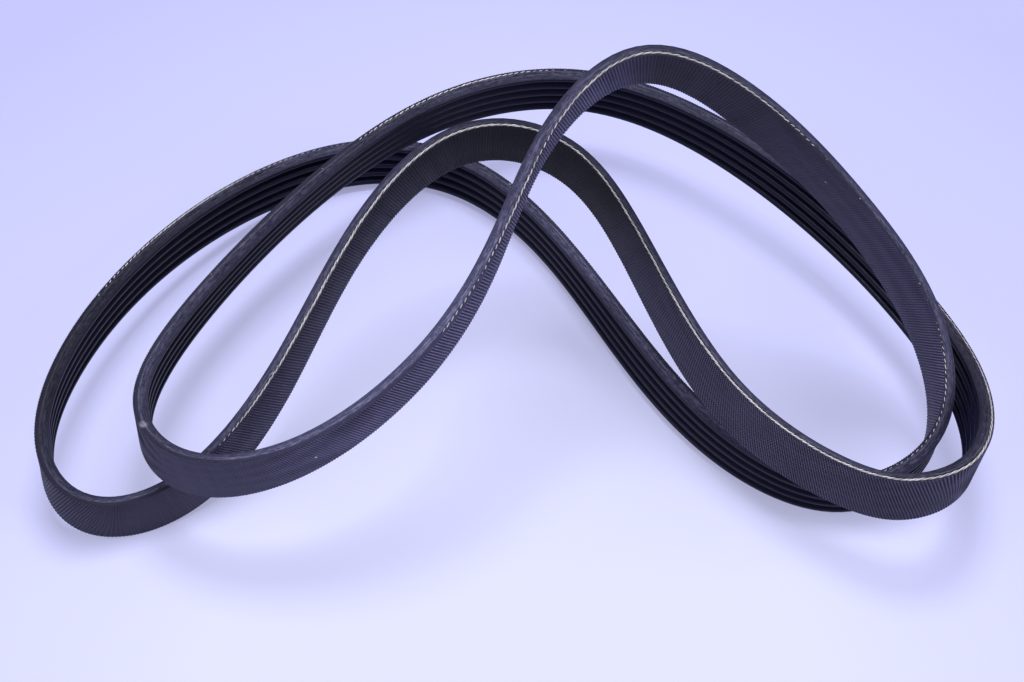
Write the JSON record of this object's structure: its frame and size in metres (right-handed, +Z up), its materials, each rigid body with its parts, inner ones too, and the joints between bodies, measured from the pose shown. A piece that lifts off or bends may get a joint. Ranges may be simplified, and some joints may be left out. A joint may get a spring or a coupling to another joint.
{
  "type": "serpentine belt",
  "caption": "Endless ribbed rubber drive belt for car engine accessories, lying on edge in crossing loops, with a finely ridged back and a bare tensile cord along one cut edge.",
  "frame": {"origin": "on the table under the middle of the belt's box", "axes": "+X along the longest side of the lay, +Y away from the camera, +Z up"},
  "size_m": [0.2944, 0.169, 0.1286],
  "materials": {
    "belt_rubber": "matt, finely ridged",
    "cord_yarn": "matt twisted yarn"
  },
  "bodies": {
    "root": {"ribbed_belt": "belt_rubber", "edge_cord": "cord_yarn"}
  },
  "joints": []
}
